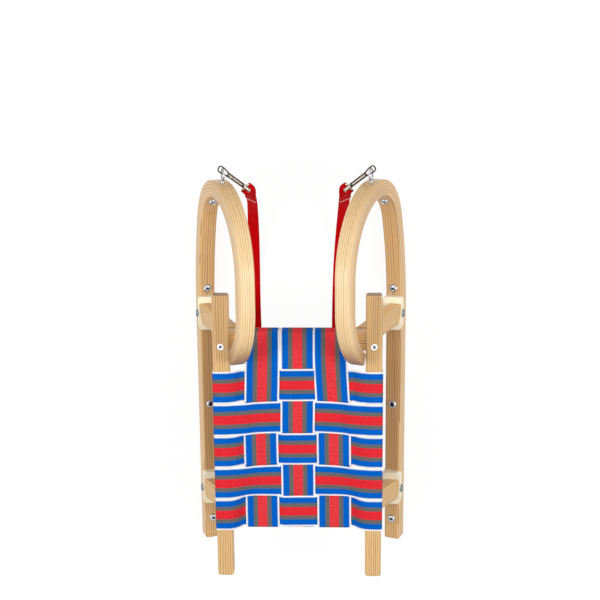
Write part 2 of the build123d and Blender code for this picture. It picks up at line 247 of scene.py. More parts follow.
class Shade:
    """One socket of a node tree. Arithmetic on it adds Math nodes."""

    def __init__(self, tree, socket=None):
        self.tree = tree
        self.socket = socket

    def node(self, kind, settings=None, sockets=None, output=0):
        """Add a node, its settings first and then its sockets' values or links, and give one output."""
        made = self.tree.nodes.new(kind)
        for name, value in (settings or {}).items():
            setattr(made, name, value)
        for name, value in (sockets or {}).items():
            if isinstance(value, Shade):
                self.tree.links.new(value.socket, made.inputs[name])
            else:
                made.inputs[name].default_value = value
        return Shade(self.tree, made.outputs[output])

    __add__ = math_node("ADD")
    __radd__ = math_node("ADD", swapped=True)
    __sub__ = math_node("SUBTRACT")
    __rsub__ = math_node("SUBTRACT", swapped=True)
    __mul__ = math_node("MULTIPLY")
    __truediv__ = math_node("DIVIDE")
    __pow__ = math_node("POWER")
    most = math_node("MAXIMUM")
    sine = math_node("SINE")
    fraction = math_node("FRACT")
    floor = math_node("FLOOR")
    size = math_node("ABSOLUTE")

    def step(self, low, high):
        """Smooth step from 0 at low to 1 at high."""
        sockets = {"Value": self, "From Min": low, "From Max": high}
        return self.node("ShaderNodeMapRange", {"interpolation_type": "SMOOTHSTEP"}, sockets)

    def mix(self, first, second):
        """Colour between two, with this as the factor."""
        pair = [colour if isinstance(colour, Shade) else (*colour, 1.0) for colour in (first, second)]
        return self.node("ShaderNodeMix", {"data_type": "RGBA"}, {0: self, 6: pair[0], 7: pair[1]}, 2)

    def tint(self, colour, strength):
        """Colour multiplied by a number."""
        return self.node("ShaderNodeVectorMath", {"operation": "SCALE"}, {0: colour, "Scale": strength})

    def part(self, axis):
        """One coordinate of a vector."""
        return self.node("ShaderNodeSeparateXYZ", None, {0: self}, axis)

    def place(self):
        """Object coordinates."""
        return self.node("ShaderNodeTexCoord", None, None, 3)

    def attribute(self, name, output=2):
        """Attribute of the mesh, as a number unless another output is named."""
        return self.node("ShaderNodeAttribute", {"attribute_name": name}, None, output)

    def noise(self, scale, detail=2.0, roughness=0.5):
        """Noise from 0 to 1 over this vector, with one scale or a scale for each coordinate."""
        vector = self
        if isinstance(scale, tuple):
            vector = self.node("ShaderNodeVectorMath", {"operation": "MULTIPLY"}, {0: self, 1: scale})
            scale = 1.0
        sockets = {"Vector": vector, "Scale": scale, "Detail": detail, "Roughness": roughness}
        return self.node("ShaderNodeTexNoise", {"noise_dimensions": "3D"}, sockets)


def linear(red, green, blue):
    """Linear colour from screen values of 0 to 255."""
    parts = []
    for value in (red, green, blue):
        share = value / 255
        parts.append(share / 12.92 if share <= 0.04045 else ((share + 0.055) / 1.055) ** 2.4)
    return tuple(parts)


def new_material(name, **constants):
    """Material with constants on its shader, and the start of its node expressions."""
    material = bpy.data.materials.new(name)
    material.use_nodes = True
    shader = material.node_tree.nodes["Principled BSDF"]
    for socket, value in constants.items():
        shader.inputs[socket.replace("_", " ")].default_value = value
    return material, Shade(material.node_tree)


def feed(material, colour, rough, height, depth, strength):
    """Material with its colour, its roughness and the bump of a height linked to its shader."""
    shader = material.node_tree.nodes["Principled BSDF"]
    sockets = {"Strength": strength, "Distance": depth, "Height": height}
    normal = height.node("ShaderNodeBump", None, sockets)
    for name, value in (("Base Color", colour), ("Roughness", rough), ("Normal", normal)):
        value.tree.links.new(value.socket, shader.inputs[name])
    return material


# Ash wood: growth rings round a far pith, open pores in the early wood, silky fibres along the grain
ring_width = 0.0031
leg_ring_width = 0.0056
pith_away = 0.086
ring_wander = 0.009
ring_ripple = 0.0028
ash_light = linear(231, 190, 131)
ash_dark = linear(142, 94, 48)
ash_pore = linear(138, 92, 50)
# Dark end grain on the ends, also used for painted shade towards the horns' tips
ash_end_grain_and_shade = linear(120, 82, 46)
# Painted shade: darker colour for the runners' inner faces and for the flanks at the crown
ash_painted_shade = linear(190, 144, 92)
# Painted light: paler colour for the horns' outward faces, with darker grain lines on them
ash_painted_light = linear(248, 222, 176)
ash_painted_light_line = linear(196, 146, 88)
varnish = {"Coat_Weight": 0.45, "Coat_Roughness": 0.28, "Specular_IOR_Level": 0.25}


def ash(name, turn=None, shift=(0, 0, 0), tone=1.0, ring_size=ring_width):
    """Varnished ash, its grain along Y of turned Object coordinates or of the mesh's grain attribute."""
    material, start = new_material(name, **varnish)
    if turn is None:
        place = start.attribute("grain", 1)
        end, inner, pale = [start.attribute(face) for face in ("end_grain_and_tip_shade", "painted_shade_face", "painted_light_face")]
    else:
        sockets = {"Vector": start.place(), "Rotation": turn, "Location": shift}
        place = start.node("ShaderNodeMapping", None, sockets)
        sockets = {"Vector": start.node("ShaderNodeNewGeometry", None, None, 1), "Rotation": turn}
        normal = start.node("ShaderNodeMapping", {"vector_type": "NORMAL"}, sockets)
        end = normal.part(1).size().step(0.75, 0.95)
    wander = place.noise((9.0, 1.6, 9.0), roughness=0.45) - 0.5
    ripple = place.noise((24.0, 20.0, 24.0), detail=1.0) - 0.5
    across = place.part(0) + pith_away
    upward = place.part(2) + pith_away
    pith = (across * across + upward * upward) ** 0.5
    ring = (pith + wander * ring_wander + ripple * ring_ripple) / ring_size
    turnover = ring.fraction()
    early = 1.0 - turnover.step(0.0, 0.5)
    edge = turnover.step(0.95, 1.0)
    year = ring.node("ShaderNodeTexWhiteNoise", {"noise_dimensions": "1D"}, {"W": ring.floor()})
    line = early.most(edge) * (0.4 + year * 0.6)
    fibre = place.noise((1300.0, 14.0, 1300.0), roughness=0.6)
    pore = place.noise((1700.0, 75.0, 1700.0), detail=1.0).step(0.60, 0.72) * early
    broad = place.noise((22.0, 3.0, 22.0), detail=1.0)
    shade = (line * 0.95 + (fibre - 0.5) * 0.6).most(0.0)
    colour = shade.mix(ash_light, ash_dark)
    if turn is None:
        # Painted shade on the stave's inner face and on its flanks at the crown
        colour = (inner * 0.32).mix(colour, shade.mix(ash_painted_shade, ash_pore))
        # Painted light on the horns' outward faces, fading out towards the tips
        colour = (pale * 0.6).mix(colour, (shade * 0.9).mix(ash_painted_light, ash_painted_light_line))
    colour = (pore * 0.6).mix(colour, ash_pore)
    # Dark end grain, and on the runners also painted shade towards the horns' tips
    colour = (end * 0.85).mix(colour, ash_end_grain_and_shade)
    colour = start.tint(colour, (0.92 + broad * 0.16) * tone)
    rough = 0.44 + line * 0.12 + (fibre - 0.5) * 0.15
    height = fibre * 0.3 - pore * 0.8 - line * 0.25
    return feed(material, colour, rough, height, depth=0.00025, strength=0.5)


def zinc_plate(name, light, rough):
    """Plated metal with fine grain."""
    material, start = new_material(name, Metallic=1.0)
    place = start.place()
    grain = place.noise(900.0, detail=3.0, roughness=0.6)
    cloud = place.noise(120.0)
    colour = start.tint(light, 0.86 + grain * 0.12 + cloud * 0.1)
    return feed(material, colour, rough + (cloud - 0.5) * 0.22, grain, depth=0.00004, strength=0.4)


def glide_steel():
    """Plain steel strip, scratched along its run."""
    material, start = new_material("glide_steel_scratched", Metallic=1.0)
    place = start.place()
    scratch = place.noise((1500.0, 8.0, 1500.0), detail=3.0, roughness=0.7)
    stain = place.noise(40.0, detail=3.0, roughness=0.6)
    colour = stain.step(0.45, 0.8).mix((0.50, 0.50, 0.50), (0.36, 0.34, 0.32))
    rough = 0.28 + scratch * 0.25 + stain * 0.1
    return feed(material, colour, rough, scratch, depth=0.00005, strength=0.5)


def shoe_plastic():
    """Cream moulded plastic with a fine satin grain."""
    material, start = new_material("shoe_plastic_cream", Specular_IOR_Level=0.45)
    place = start.place()
    grain = place.noise(1600.0)
    cloud = place.noise(55.0)
    colour = cloud.mix(linear(254, 247, 222), linear(248, 238, 206))
    rough = 0.46 + (grain - 0.5) * 0.15
    return feed(material, colour, rough, grain, depth=0.00006, strength=0.5)


# Stripes across the seat webbing, from its edges inwards: white selvedge, blue, grey, and red in the middle
web_white = linear(253, 253, 251)
web_blue = linear(0, 98, 200)
web_grey = linear(103, 104, 102)
web_red = linear(232, 32, 46)
pale_red = linear(238, 120, 124)
pale_grey = linear(150, 148, 140)
stripe_ends = (0.042, 0.229, 0.358)
stripe_blurs = (0.003, 0.004, 0.004)
warp_count = 44
chevron_pitch = 0.0024
rib_count = 13


def seat_webbing(name, heather):
    """Striped webbing with fine picks across and warp threads along, from the strap's own UV map."""
    material, start = new_material(name, Specular_IOR_Level=0.04)
    uv = start.node("ShaderNodeUVMap", {"uv_map": "web"})
    across = uv.part(0)
    along = uv.part(1)
    pick = (along * (2 * pi / pick_pitch)).sine()
    warp = (across * (2 * pi * warp_count)).sine()
    thread = uv.noise((88.0, 950.0, 1.0), detail=1.0)
    slub = uv.noise((34.0, 380.0, 1.0), detail=1.0)
    from_edge = 0.5 - (across - 0.5).size() + pick * 0.0022 + (thread - 0.5) * 0.006
    zigzag = (along * (pi / pick_pitch)).sine() * 0.014
    depths = (from_edge + zigzag, from_edge, from_edge)
    stripes = zip(depths, stripe_ends, stripe_blurs)
    blue, grey, red = [depth.step(end - blur, end + blur) for depth, end, blur in stripes]
    pale = (thread * 0.4 + slub * 0.6).step(0.40, 0.66) * heather
    colour = blue.mix(web_white, web_blue)
    colour = grey.mix(colour, (thread.step(0.5, 0.8) * 0.35).mix(web_grey, pale_grey))
    colour = red.mix(colour, pale.mix(web_red, pale_red))
    mottle = (thread - 0.5) * 0.26 + (slub - 0.5) * 0.22
    colour = start.tint(colour, 0.92 + pick * 0.06 + warp * 0.03 + mottle)
    height = pick * 0.5 + warp * 0.4 + thread * 0.5
    rough = 0.72 + (thread - 0.5) * 0.2
    return feed(material, colour, rough, height, depth=0.00018, strength=0.6)


def selvedge_thread():
    """White weft thread that turns at the webbing's edge."""
    material, start = new_material("selvedge_thread", Specular_IOR_Level=0.25)
    twist = start.place().noise(1400.0)
    colour = start.tint(web_white, 0.9 + twist * 0.12)
    rough = 0.65 + twist * 0.2
    return feed(material, colour, rough, twist, depth=0.0001, strength=0.4)


def pull_webbing():
    """Red webbing with a ribbed, slightly glossy weave along its UV map."""
    material, start = new_material("pull_webbing_red", Specular_IOR_Level=0.05)
    uv = start.node("ShaderNodeUVMap", {"uv_map": "web"})
    across = uv.part(0)
    slant = uv.part(1) + (across - 0.5).size() * 0.006
    chevron = (slant * (2 * pi / chevron_pitch)).sine()
    rib = (across * (2 * pi * rib_count)).sine()
    thread = uv.noise((60.0, 900.0, 1.0))
    shade = 0.78 + chevron * 0.08 + rib * 0.07 + (thread - 0.5) * 0.25
    colour = start.tint(linear(222, 0, 10), shade)
    height = chevron * 0.5 + rib * 0.6 + thread * 0.3
    rough = 0.58 + (thread - 0.5) * 0.2
    return feed(material, colour, rough, height, depth=0.00025, strength=0.7)


zinc_bright = zinc_plate("zinc_bright", light=(0.46, 0.48, 0.50), rough=0.22)
zinc_grey = zinc_plate("zinc_grey", light=(0.20, 0.23, 0.26), rough=0.28)
zinc_white = zinc_plate("zinc_white", light=(0.90, 0.91, 0.92), rough=0.34)
# Near-black zinc for painted shade in the bolts' sockets
zinc_socket_shade = zinc_plate("zinc_socket_shade", light=(0.075, 0.075, 0.08), rough=0.42)
nickel_dark = zinc_plate("nickel_dark", light=(0.07, 0.055, 0.045), rough=0.28)
nickel_light = zinc_plate("nickel_light", light=(0.44, 0.40, 0.33), rough=0.26)
steel = glide_steel()
plastic = shoe_plastic()
web_across = seat_webbing("webbing_across", heather=0.18)
web_along = seat_webbing("webbing_along", heather=0.45)
white_thread = selvedge_thread()
red_web = pull_webbing()


# Helpers for numbers, places and meshes
def ramp(value, low, high):
    """Share of the way from low to high, kept between 0 and 1."""
    return min(max((value - low) / (high - low), 0.0), 1.0)


def eased(share):
    """Share with a smooth start and end."""
    return share * share * (3 - 2 * share)


def angles(count):
    """Angles of points spaced evenly round a circle."""
    return [2 * pi * step / count for step in range(count)]


def handed(place, sign):
    """Right-hand place or direction on its own side of the sled."""
    return Vector((sign * place[0], place[1], place[2]))


def walked(line):
    """Each point of a line with the direction there and the distance from the start."""
    distance = 0.0
    for index, point in enumerate(line):
        before = line[max(index - 1, 0)]
        after = line[min(index + 1, len(line) - 1)]
        if index:
            distance += (point - before).length
        yield point, (after - before).normalized(), distance


def new_piece(name, mesh, material, slot, *nodes):
    """Piece on the sled's body with its material and the solids it stands for, which it hides. The record
    slot is not used.
    """
    piece = bpy.data.objects.new(name, mesh)
    bpy.context.collection.objects.link(piece)
    if not mesh.materials:
        mesh.materials.append(material)
    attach(piece, "root")
    if nodes:
        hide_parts(*nodes)
    return piece


def smooth(mesh, angle=radians(38)):
    """Smooth shading, sharp where faces meet at more than an angle."""
    mesh.polygons.foreach_set("use_smooth", [True] * len(mesh.polygons))
    mesh.set_sharp_from_angle(angle=angle)


def add_layer(mesh, name, kind, values):
    """Named attribute on a mesh's points."""
    layer = mesh.attributes.new(name, kind, "POINT")
    layer.data.foreach_set("vector" if kind == "FLOAT_VECTOR" else "value", values)


def skin(rings, closed=False, caps=True):
    """Vertices and faces of a tube through rings of points."""
    points = [point for ring in rings for point in ring]
    count = len(rings[0])
    faces = []
    last = len(rings) if closed else len(rings) - 1
    for row in range(last):
        here = row * count
        there = (row + 1) % len(rings) * count
        for column in range(count):
            after = (column + 1) % count
            faces.append((here + column, here + after, there + after, there + column))
    if caps and not closed:
        faces.append(tuple(reversed(range(count))))
        faces.append(tuple(range((len(rings) - 1) * count, len(rings) * count)))
    return points, faces


def mesh_of(name, parts):
    """Mesh from lists of (points, faces), with its faces turned outwards."""
    made = bmesh.new()
    for points, faces in parts:
        verts = [made.verts.new(point) for point in points]
        for face in faces:
            made.faces.new([verts[index] for index in face])
    bmesh.ops.recalc_face_normals(made, faces=made.faces)
    mesh = bpy.data.meshes.new(name)
    made.to_mesh(mesh)
    made.free()
    return mesh


def rounded_section(width, height, radius, steps=6, margin=0.0012):
    """Points round a rectangle with round corners, with a point on each flat close to each corner."""
    points = []
    for across, upward, start in ((1, 1, 0), (-1, 1, 90), (-1, -1, 180), (1, -1, 270)):
        middle = Vector((across * (width / 2 - radius), upward * (height / 2 - radius)))
        turns = [radians(start + 90 * step / steps) for step in range(steps + 1)]
        spokes = [Vector((cos(turn), sin(turn))) for turn in turns]
        arc = [middle + spoke * radius for spoke in spokes]
        points += [arc[0] - spokes[-1] * margin] + arc + [arc[-1] - spokes[0] * margin]
    return points


def tube_along(points, radius, normal, count=12, closed=False):
    """Round tube along points, with rings that don't twist away from a first normal."""
    rings = []
    size = len(points)
    for index, point in enumerate(points):
        before = points[index - 1] if index or closed else point
        after = points[(index + 1) % size] if index < size - 1 or closed else point
        along = (after - before).normalized()
        normal = (normal - along * normal.dot(along)).normalized()
        other = along.cross(normal)
        rings.append([point + (normal * cos(a) + other * sin(a)) * radius for a in angles(count)])
    return skin(rings, closed)


def turned(profile, place, axis, count=32):
    """Turned shape from (radius, height) pairs along an axis, closed at both ends."""
    across = axis.orthogonal().normalized()
    other = axis.cross(across)
    rings = []
    for radius, height in profile:
        middle = place + axis * height
        rings.append([middle + (across * cos(a) + other * sin(a)) * radius for a in angles(count)])
    return skin(rings)


# The stave's line: place along the sled, height in its leaning plane, heading and distance along
stave_runs = [
    ("line", rise_start - runner_rear),
    ("arc", rise_radius, rise_angle),
    ("arc", nose_radius, pi / 2 - rise_angle),
    ("arc", crown_radius, pi / 2),
    ("line", grip_length),
    ("arc", curl_radius, curl_angle),
]
flat_run, rise_run, nose_run, crown_run = range(4)


def stave_place(run_index, share):
    """Station at a share of one run: y, height in the plane, heading and distance."""
    y, height, heading, distance = runner_rear, 0.0, 0.0, 0.0
    for index, run in enumerate(stave_runs):
        part = share if index == run_index else 1.0
        if run[0] == "line":
            length = run[1] * part
            y += length * cos(heading)
            height += length * sin(heading)
        else:
            radius, angle = run[1], run[2] * part
            y += radius * (sin(heading + angle) - sin(heading))
            height += radius * (cos(heading) - cos(heading + angle))
            heading += angle
            length = radius * angle
        distance += length
        if index == run_index:
            break
    return y, height, heading, distance


def stave_frame(station):
    """Middle, direction along and direction to the inside of the bend, on the right-hand stave."""
    y, height, heading = station[:3]
    forward = Vector((0, 1, 0))
    middle = Vector((runner_x, y, runner_z)) + stave_up * height
    along = forward * cos(heading) + stave_up * sin(heading)
    inward = stave_up * cos(heading) - forward * sin(heading)
    return middle, along, inward


def stave_stations():
    """Stations along the whole stave, closer in the bends."""
    stations = []
    for index, run in enumerate(stave_runs):
        length = run[1] if run[0] == "line" else run[1] * run[2]
        count = ceil(length / (line_pace if run[0] == "line" else arc_pace))
        last = count + 1 if index == len(stave_runs) - 1 else count
        stations += [stave_place(index, step / count) for step in range(last)]
    return stations


def make_runner(name, sign, offset):
    """Bent stave with rounded edges and ends, carrying its own grain coordinates."""
    stations = stave_stations()
    total = stations[-1][3]
    crown_from, crown_to = stave_place(crown_run, 0.0)[3], stave_place(crown_run, 1.0)[3]
    rounding = []
    for step in range(end_steps):
        angle = pi / 2 * step / end_steps
        rounding.append((stave_end_round * (1 - cos(angle)), stave_end_round * (1 - sin(angle))))
    first, last = stave_frame(stations[0]), stave_frame(stations[-1])
    spots = [(first, ahead, inset, ahead) for ahead, inset in rounding]
    inner = [s for s in stations if stave_end_round < s[3] < total - stave_end_round]
    spots += [(stave_frame(s), 0.0, 0.0, s[3]) for s in inner]
    spots += [(last, -ahead, inset, total - ahead) for ahead, inset in reversed(rounding)]
    rings = []
    marks = []
    for (middle, along, inward), ahead, inset, distance in spots:
        thin = tip_thin * ramp(distance, total - tip_run, total)
        narrow = grip_narrow * ramp(distance, crown_from, crown_to)
        width = runner_width - narrow - 2 * inset
        height = runner_height - thin - 2 * inset
        middle = middle + along * ahead - inward * (thin / 2) + stave_side * (narrow / 2)
        ring = []
        for across, upward in rounded_section(width, height, max(runner_round - inset, least_corner)):
            ring.append(handed(middle + stave_side * across + inward * upward, sign))
            marks.append((across, distance, upward))
        rings.append(ring)
    mesh = mesh_of(name, [skin(rings)])
    grain = [value + shift for mark in marks for value, shift in zip(mark, offset)]
    add_layer(mesh, "grain", "FLOAT_VECTOR", grain)
    end_grain_and_shade_share, painted_shade_share, painted_light_share = [], [], []
    for across, distance, upward in marks:
        # Painted shade over the last stretch of each horn's tip; the end rings are set to full end grain
        # below
        from_tip = (total - distance) / tip_shade_run
        from_crown = abs(distance - (crown_from + crown_to) / 2) / (crown_to - crown_from)
        end_grain_and_shade_share.append(0.9 * ramp(from_tip, 1.0, 0.0))
        # Painted shade share: the inner face, and the flanks round the crown
        inside = ramp(upward / half, 0.8, 1.0)
        flank = ramp(abs(across) / runner_width, 0.4, 0.5)
        painted_shade_share.append(max(inside, flank * ramp(from_crown, 0.8, 0.4)))
        # Painted light share: the outward face past the rise, fading out towards the tip
        outside = ramp(-upward / half, 1 / 3, 2 / 3)
        onward = ramp(distance, painted_light_start, painted_light_start + painted_light_run)
        painted_light_share.append(outside * onward * ramp(from_tip, 0.3, 1.3))
    count = len(rings[0])
    end_grain_and_shade_share[:count] = end_grain_and_shade_share[-count:] = [1.0] * count
    for layer, shares in (("end_grain_and_tip_shade", end_grain_and_shade_share), ("painted_shade_face", painted_shade_share), ("painted_light_face", painted_light_share)):
        add_layer(mesh, layer, "FLOAT", shares)
    smooth(mesh)
    return mesh


for hand, sign in sides.items():
    offset = (0.0, 0.0, 0.0) if sign > 0 else (0.021, 1.7, 0.013)
    mesh = make_runner("horn_runner_" + hand, sign, offset)
    new_piece("horn_runner_" + hand, mesh, ash("ash_bent_" + hand), "wood", "runner_" + hand)


# Straight wood, shoes and glide bands keep their solids
def dress(node, material):
    """Give a solid its material."""
    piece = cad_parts[node]
    piece.data.materials.clear()
    piece.data.materials.append(material)


def dress_wood(node, turn, away, tone, ring_size=ring_width):
    """Give a straight piece its grain, set out from the middle of the piece and shifted along it."""
    corners = [Vector(corner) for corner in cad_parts[node].bound_box]
    middle = sum(corners, Vector()) / len(corners)
    shift = Vector(away) - Euler(turn).to_matrix() @ middle
    dress(node, ash("ash_" + node, turn, shift, tone, ring_size))


seat_tone = 0.94
leg_tone = 0.98
dress_wood("seat_rail_right", (0, 0, 0), (0.012, 0.3, -0.045), seat_tone)
dress_wood("seat_rail_left", (0, 0, 0), (-0.02, 0.9, -0.03), seat_tone)
dress_wood("front_crossbar", (0, 0, pi / 2), (0.0, 0.2, 0.0), seat_tone)
dress_wood("rear_crossbar", (0, 0, pi / 2), (0.02, 0.6, 0.01), seat_tone)
for row, rake in (("front", front_rake_angle), ("rear", rear_rake_angle)):
    for hand, sign in sides.items():
        axis = Vector((-sign * tan(leg_splay), -tan(rake), 1)).normalized()
        turn = tuple(axis.rotation_difference(Vector((0, 1, 0))).to_euler())
        away = (-0.014, 0.4 + 0.1 * sign, -0.182 if sign > 0 else 0.010)
        dress_wood(f"{row}_leg_{hand}", turn, away, leg_tone, leg_ring_width)
        dress(f"{row}_shoe_{hand}", plastic)
for hand in sides:
    dress("glide_band_" + hand, steel)


# Geometry Nodes that set a shape on points, each aimed along its point's own direction
def given(start, label, kind):
    """New input of a tree."""
    start.tree.interface.new_socket(label, in_out="INPUT", socket_type="NodeSocket" + kind)
    return start.node("NodeGroupInput", None, None, label)


def scatter_tree(name, make_shape):
    """Tree that stands a shape on every point, with its sizes as named inputs."""
    tree = bpy.data.node_groups.new(name, "GeometryNodeTree")
    start = Shade(tree)
    points = given(start, "Geometry", "Geometry")
    material = given(start, "Material", "Material")
    aim = start.node("GeometryNodeInputNamedAttribute", {"data_type": "FLOAT_VECTOR"}, {"Name": "aim"})
    turn = start.node("FunctionNodeAlignRotationToVector", {"axis": "Z"}, {"Vector": aim})
    sockets = {"Points": points, "Instance": make_shape(start), "Rotation": turn}
    stand = start.node("GeometryNodeInstanceOnPoints", None, sockets)
    real = start.node("GeometryNodeRealizeInstances", None, {"Geometry": stand})
    paint = start.node("GeometryNodeSetMaterial", None, {"Geometry": real, "Material": material})
    tree.interface.new_socket("Geometry", in_out="OUTPUT", socket_type="NodeSocketGeometry")
    tree.links.new(paint.socket, tree.nodes.new("NodeGroupOutput").inputs["Geometry"])
    return tree


def object_shape(start):
    """Shape taken from a pattern object."""
    sockets = {"Object": given(start, "Pattern", "Object"), "As Instance": True}
    return start.node("GeometryNodeObjectInfo", None, sockets, "Geometry")


def bead_shape(start):
    """Small oval bead, with half its length along its aim."""
    radius = given(start, "Bead Radius", "Float")
    reach = given(start, "Bead Reach", "Float")
    ball = start.node("GeometryNodeMeshUVSphere", None, {"Segments": 7, "Rings": 5, "Radius": 1.0})
    size = start.node("ShaderNodeCombineXYZ", None, {"X": radius, "Y": radius, "Z": reach})
    return start.node("GeometryNodeTransform", None, {"Geometry": ball, "Scale": size})


def scattered(name, tree, points, aims, inputs):
    """Plain mesh of a tree's shape on points."""
    mesh = bpy.data.meshes.new(name + "_points")
    mesh.from_pydata(points, [], [])
    add_layer(mesh, "aim", "FLOAT_VECTOR", [value for aim in aims for value in aim])
    carrier = bpy.data.objects.new(name + "_points", mesh)
    bpy.context.collection.objects.link(carrier)
    modifier = carrier.modifiers.new("scatter", "NODES")
    modifier.node_group = tree
    for item in tree.interface.items_tree:
        if item.item_type == "SOCKET" and item.in_out == "INPUT" and item.name in inputs:
            modifier[item.identifier] = inputs[item.name]
    graph = bpy.context.evaluated_depsgraph_get()
    result = bpy.data.meshes.new_from_object(carrier.evaluated_get(graph))
    result.name = name
    carrier.modifiers.remove(modifier)
    bpy.data.objects.remove(carrier)
    smooth(result)
    return result


stand_pattern = scatter_tree("stand_pattern", object_shape)
stand_bead = scatter_tree("stand_bead", bead_shape)


def pattern_object(name, parts):
    """Pattern that is only instanced, kept out of the scene."""
    return bpy.data.objects.new(name, mesh_of(name, parts))


def fasteners(name, pattern, material, points, aims, *nodes):
    """Piece with a pattern on every point."""
    mesh = scattered(name, stand_pattern, points, aims, {"Pattern": pattern, "Material": material})
    new_piece(name, mesh, material, "zinc", *nodes)


def beads(name, places, aims, radius, length, slot):
    """Piece with a bead of white thread on every place."""
    inputs = {"Bead Radius": radius, "Bead Reach": length / 2, "Material": white_thread}
    mesh = scattered(name, stand_bead, places, aims, inputs)
    return new_piece(name, mesh, white_thread, slot)


# Rings of points about Z for bolts, nuts and screws
def polar_ring(reach, height, count):
    """Ring of points, each as far out as its angle says."""
    return [Vector((reach(a) * cos(a), reach(a) * sin(a), height)) for a in angles(count)]


def circle_ring(radius, height, count=ring_count):
    """Ring on a circle."""
    return polar_ring(lambda angle: radius, height, count)


def hexagon_ring(radius, height, count=ring_count):
    """Ring on a hexagon, in step with a circle's."""
    half_side = pi / 6
    flat = radius * cos(half_side)
    return polar_ring(lambda angle: flat / cos((angle + half_side) % (pi / 3) - half_side), height, count)


def cross_ring(radius, waist, height, count):
    """Ring on a four-armed slot."""
    return polar_ring(lambda angle: waist + (radius - waist) * abs(cos(2 * angle)) ** 3, height, count)


def ring_stack(make_ring, shares, radius, height):
    """Rings at shares of a radius and a height."""
    return [make_ring(radius * wide, height * high) for wide, high in shares]


def button_bolt(shank):
    """Domed bolt with a hexagon socket, standing on Z = 0, with its shank below."""
    dome = ((1.0, 0.0), (1.0, 0.28), (0.975, 0.42), (0.90, 0.62), (0.77, 0.80), (0.62, 0.92), (0.50, 0.985))
    socket = ((0.40, 0.97), (0.375, 0.90), (0.365, 0.30))
    rings = [circle_ring(bolt_radius, -shank), circle_ring(bolt_radius, -0.0002)]
    rings += ring_stack(circle_ring, dome + ((0.43, 1.0),), bolt_head, bolt_head_height)
    rings += ring_stack(hexagon_ring, socket, bolt_head, bolt_head_height)
    rings += ring_stack(circle_ring, [(0.05, 0.20)], bolt_head, bolt_head_height)
    return [skin(rings)]


def socket_shade_shell():
    """Dark floor and walls of a bolt's socket, painted shade in the recess, standing on the bolt's own seat.
    """
    rings = ring_stack(circle_ring, [(0.04, 0.30)], bolt_head, bolt_head_height)
    rings += ring_stack(hexagon_ring, [(0.36, 0.34), (0.368, 0.84)], bolt_head, bolt_head_height)
    return [skin(rings, caps=False)]


def nut_rings(lower_hole, upper_hole):
    """Hexagon nut with chamfered corners on Z = 0, its hole given as shares of its radius and height."""
    rings = ring_stack(circle_ring, [(lower_hole, 0.0), (0.86, 0.0)], nut_radius, nut_height)
    rings += ring_stack(hexagon_ring, [(1.0, 0.12), (1.0, 0.88)], nut_radius, nut_height)
    return rings + ring_stack(circle_ring, [(0.86, 1.0)] + upper_hole, nut_radius, nut_height)


# Bolts on the runners
flat_length = rise_start - runner_rear
front_bolt_y = front_shoe_y + shoe_length / 2 + front_bolt_gap
bolt_stations = [
    stave_place(flat_run, (rear_bolt_y - runner_rear) / flat_length),
    stave_place(flat_run, (middle_bolt_y - runner_rear) / flat_length),
    stave_place(rise_run, asin((front_bolt_y - rise_start) / rise_radius) / rise_angle),
    stave_place(nose_run, nose_bolt_share),
]
runner_bolt = pattern_object("runner_bolt", button_bolt(runner_height + band_thick / 2))
bolt_socket = pattern_object("bolt_socket", socket_shade_shell())
for hand, sign in sides.items():
    points = []
    aims = []
    for station in bolt_stations:
        middle, along, inward = stave_frame(station)
        points.append(handed(middle + inward * half, sign))
        aims.append(handed(inward, sign))
    fasteners("button_bolts_" + hand, runner_bolt, zinc_bright, points, aims, "runner_bolts_" + hand)
    # Dark lining inside each bolt's socket: painted shade
    fasteners("bolt_sockets_" + hand, bolt_socket, zinc_socket_shade, points, aims)

# Bolts and nuts through the shoes
shoe_bolt = pattern_object("shoe_bolt", button_bolt(shoe_width))
nut_skin = skin(nut_rings(lower_hole=0.6, upper_hole=[(0.6, 1.0), (0.54, 0.75)]))
shoe_nut = pattern_object("shoe_nut", [nut_skin])
for row, foot_y in (("front", front_shoe_y), ("rear", rear_shoe_y)):
    for hand, sign in sides.items():
        middle = Vector((runner_x, foot_y, runner_z)) + stave_up * half + shoe_up * cross_bolt_up
        middle = handed(middle, sign)
        out = Vector((sign * cos(shoe_lean), 0, sin(shoe_lean)))
        side = out * (shoe_width / 2)
        bolt_node = f"{row}_cross_bolt_{hand}"
        fasteners(f"{row}_shoe_bolt_{hand}", shoe_bolt, zinc_grey, [middle + side], [out], bolt_node)
        fasteners(f"{row}_shoe_nut_{hand}", shoe_nut, zinc_bright, [middle - side], [-out])


# Rail screws: a cup washer with a sunk cross-slot screw in front, a flush screw under the webbing behind
def rail_screw(level):
    """Cross-slot screw with its head's rim at a level, and the rail's top at Z = 0."""
    count = 40
    top = level + screw_crown
    shank = ((screw_shank, -screw_length), (screw_shank, level - screw_cone))
    head = ((screw_head, level), (screw_head * 0.72, top))
    rings = [circle_ring(radius, height, count) for radius, height in shank + head]
    rings.append(cross_ring(screw_head * 0.62, screw_head * 0.22, top, count))
    rings.append(cross_ring(screw_head * 0.50, screw_head * 0.16, level - slot_depth, count))
    rings.append(circle_ring(screw_head * 0.03, level - slot_pit, count))
    return [skin(rings)]


def cup_washer():
    """Turned cup washer that stands on the rail's top at Z = 0."""
    profile = ((0.0026, 0.0), (0.0055, 0.0), (0.0055, 0.0004), (0.0053, 0.0009), (0.0047, 0.0012))
    profile += ((0.0036, 0.0010), (0.0028, 0.0007))
    return [skin([circle_ring(radius, height, count=40) for radius, height in profile], closed=True)]


